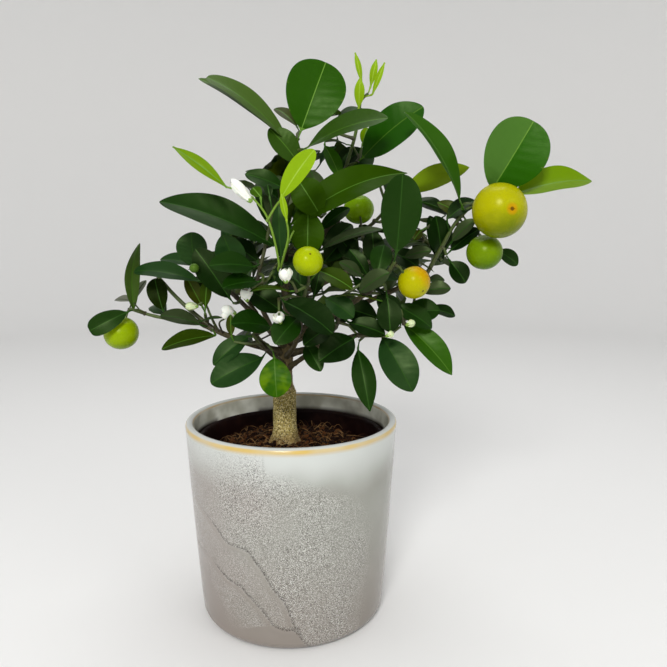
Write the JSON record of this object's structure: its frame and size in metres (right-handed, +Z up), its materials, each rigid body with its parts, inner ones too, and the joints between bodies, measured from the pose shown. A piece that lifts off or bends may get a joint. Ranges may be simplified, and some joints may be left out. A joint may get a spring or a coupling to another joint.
{
  "type": "calamondin orange tree in a pot",
  "caption": "Small potted citrus tree with a short stippled trunk, spreading boughs, oval leaves, small yellow and green fruit and white buds, in a speckled glazed pot.",
  "frame": {"origin": "middle of the pot's flat underside", "axes": "+Z up, -Y towards the side that faces the viewer, +X to the viewer's right"},
  "size_m": [0.3247, 0.1897, 0.3925],
  "materials": {
    "glaze": "glossy pale grey glaze with fine dark speckle",
    "pot_plastic": "dull thin moulded",
    "peat": "rough damp crumb",
    "bark": "rough, finely stippled",
    "foliage": "waxy green leaves, fruit and buds"
  },
  "bodies": {
    "root": {"pot": "glaze", "grower_pot": "pot_plastic", "soil": "peat", "trunk": "bark", "leader": "bark", "bough_left": "bark", "bough_left_rise": "bark", "bough_left_low": "bark", "bough_front_left": "bark", "bough_front": "bark", "bough_front_low": "bark", "bough_right_front_low": "bark", "bough_right_front": "bark", "bough_right_low": "bark", "bough_right": "bark", "bough_right_mid": "bark", "bough_upper_right": "bark", "bough_centre": "bark", "bough_top": "bark", "bough_back_left": "bark", "bough_back": "bark", "bough_back_right": "bark", "bough_back_top": "bark", "mass_top_left": "foliage", "mass_top": "foliage", "mass_upper_right": "foliage", "mass_centre": "foliage", "mass_far_right": "foliage", "mass_right": "foliage", "mass_right_front": "foliage", "mass_right_low": "foliage", "mass_front_low": "foliage", "mass_front": "foliage", "mass_young": "foliage", "mass_front_left": "foliage", "mass_left": "foliage", "mass_left_tip": "foliage", "mass_left_low": "foliage", "mass_back_left": "foliage", "mass_back": "foliage", "mass_back_right": "foliage", "mass_back_top": "foliage"}
  },
  "joints": []
}
